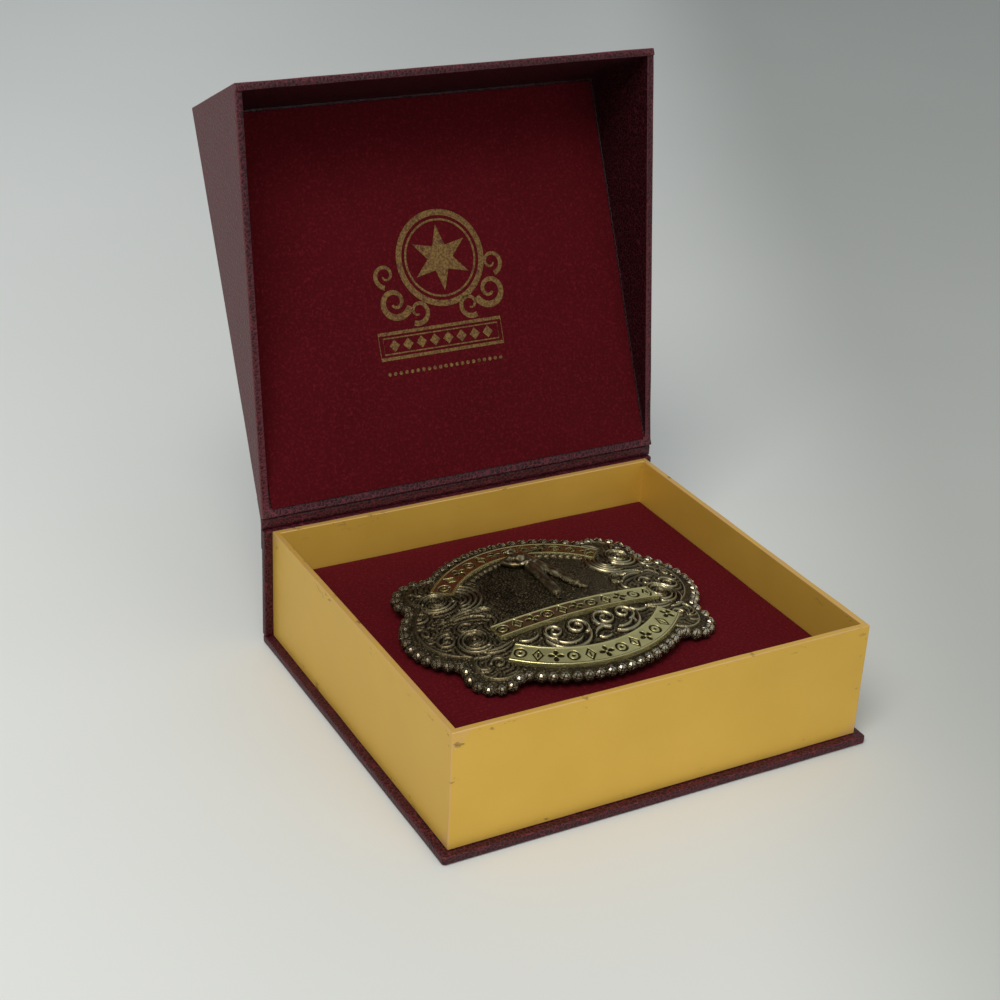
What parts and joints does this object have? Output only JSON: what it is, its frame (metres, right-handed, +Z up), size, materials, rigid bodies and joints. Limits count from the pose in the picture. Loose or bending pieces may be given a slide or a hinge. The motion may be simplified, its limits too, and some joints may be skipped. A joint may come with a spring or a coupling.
{
  "type": "western trophy buckle in a hinged presentation box",
  "caption": "Domed belt buckle with beaded rim, ribbons, scrolls and a golfer in relief, lying on the cloth pad of an open presentation box with a hinged lid.",
  "frame": {"origin": "middle of the base board's underside", "axes": "+X to the right along the front of the box, +Y to the back where the lid is hinged, +Z up"},
  "size_m": [0.1454, 0.1856, 0.1803],
  "materials": {
    "leatherette": "board wrapped in wrinkled maroon leatherette paper",
    "gold_paper": "card covered in matt gold paper, worn pink at the rim",
    "velvet": "maroon velvet",
    "antiqued_metal": "antiqued nickel silver, dark in the recesses, polished on the beads, with paler brass ribbons"
  },
  "bodies": {
    "box": {"base_board": "leatherette", "spine_board": "leatherette", "hinge_cloth": "leatherette", "tray": "gold_paper", "pad": "velvet", "buckle_face": "antiqued_metal", "belt_loop": "antiqued_metal", "belt_hook": "antiqued_metal"},
    "lid": {"lid_shell": "leatherette", "lid_lining": "velvet"}
  },
  "joints": [
    {"name": "lid_hinge", "type": "hinge", "parent": "box", "child": "lid", "pos_m": [0, 0.0654, 0.04395], "axis": [1, 0, 0], "range_deg": [0, 114.3]}
  ]
}
